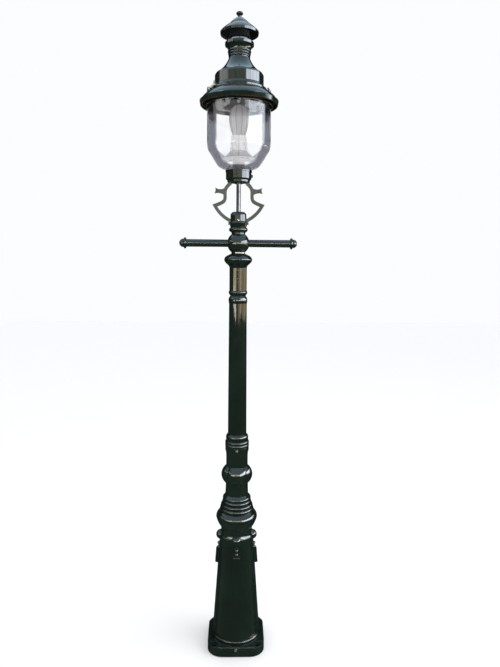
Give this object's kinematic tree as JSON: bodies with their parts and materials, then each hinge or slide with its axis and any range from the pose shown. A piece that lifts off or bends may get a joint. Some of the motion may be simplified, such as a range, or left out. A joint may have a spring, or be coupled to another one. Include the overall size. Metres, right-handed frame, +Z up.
{
  "type": "lamp post",
  "caption": "Round cast street lamp post with a ladder bar, scrolled frog arms and a clear bowl lantern under a hinged canopy with a chimney.",
  "frame": {"origin": "middle of the plinth's underside", "axes": "+Z up along the post, -Y to the front, X along the ladder bar"},
  "size_m": [0.476, 0.31, 2.5988],
  "materials": {
    "green_paint": "gloss paint",
    "arm_paint": "gloss paint",
    "steel_fasteners": "zinc plated",
    "conduit_steel": "galvanised",
    "soft_seal": "matte",
    "clear_bowl": "clear moulded",
    "white_ceramic": "glazed",
    "lamp_metal": "plain",
    "bright_metal": "polished",
    "lamp_glass": "clear",
    "lamp_core": "frosted"
  },
  "bodies": {
    "post": {"plinth": "green_paint", "pedestal": "green_paint", "lower_column": "green_paint", "shaft": "green_paint", "shaft_spigot": "green_paint", "head_casting": "green_paint", "ladder_bars": "green_paint", "bar_ends": "green_paint", "frog_hub": "green_paint", "globe_gallery": "green_paint", "canopy_ring": "green_paint", "frog_arm_left": "arm_paint", "frog_arm_right": "arm_paint", "earth_screw": "steel_fasteners", "shaft_screws": "steel_fasteners", "head_lock_bolt": "steel_fasteners", "frog_screws": "steel_fasteners", "hub_screw": "steel_fasteners", "gallery_bolts": "steel_fasteners", "gallery_screws": "steel_fasteners", "conduit_nuts": "steel_fasteners", "hinge_pin": "steel_fasteners", "conduit_tube": "conduit_steel", "lampholder_plate": "conduit_steel", "globe_seal": "soft_seal", "ring_gasket": "soft_seal", "canopy_seal": "soft_seal", "globe": "clear_bowl", "lampholder": "white_ceramic", "lamp_cap": "lamp_metal", "lamp_reflector": "bright_metal", "lamp_glass": "lamp_glass", "lamp_core": "lamp_core"},
    "canopy": {"canopy_dome": "green_paint", "hinge_leaf": "steel_fasteners", "hinge_rivets": "steel_fasteners", "chimney": "green_paint", "cowl": "green_paint", "cap": "green_paint", "finial": "green_paint", "tie_rod": "steel_fasteners", "tie_nut": "steel_fasteners"},
    "catch": {"catch_screw": "steel_fasteners"}
  },
  "joints": [
    {"name": "canopy_hinge", "type": "hinge", "parent": "post", "child": "canopy", "pos_m": [-0.119, 0, 2.3103], "axis": [0, -1, 0], "range_deg": [0, 95]},
    {"name": "catch_turn", "type": "hinge", "parent": "canopy", "child": "catch", "pos_m": [0.1155, 0, 2.3093], "axis": [0, 0, 1], "continuous": true}
  ]
}
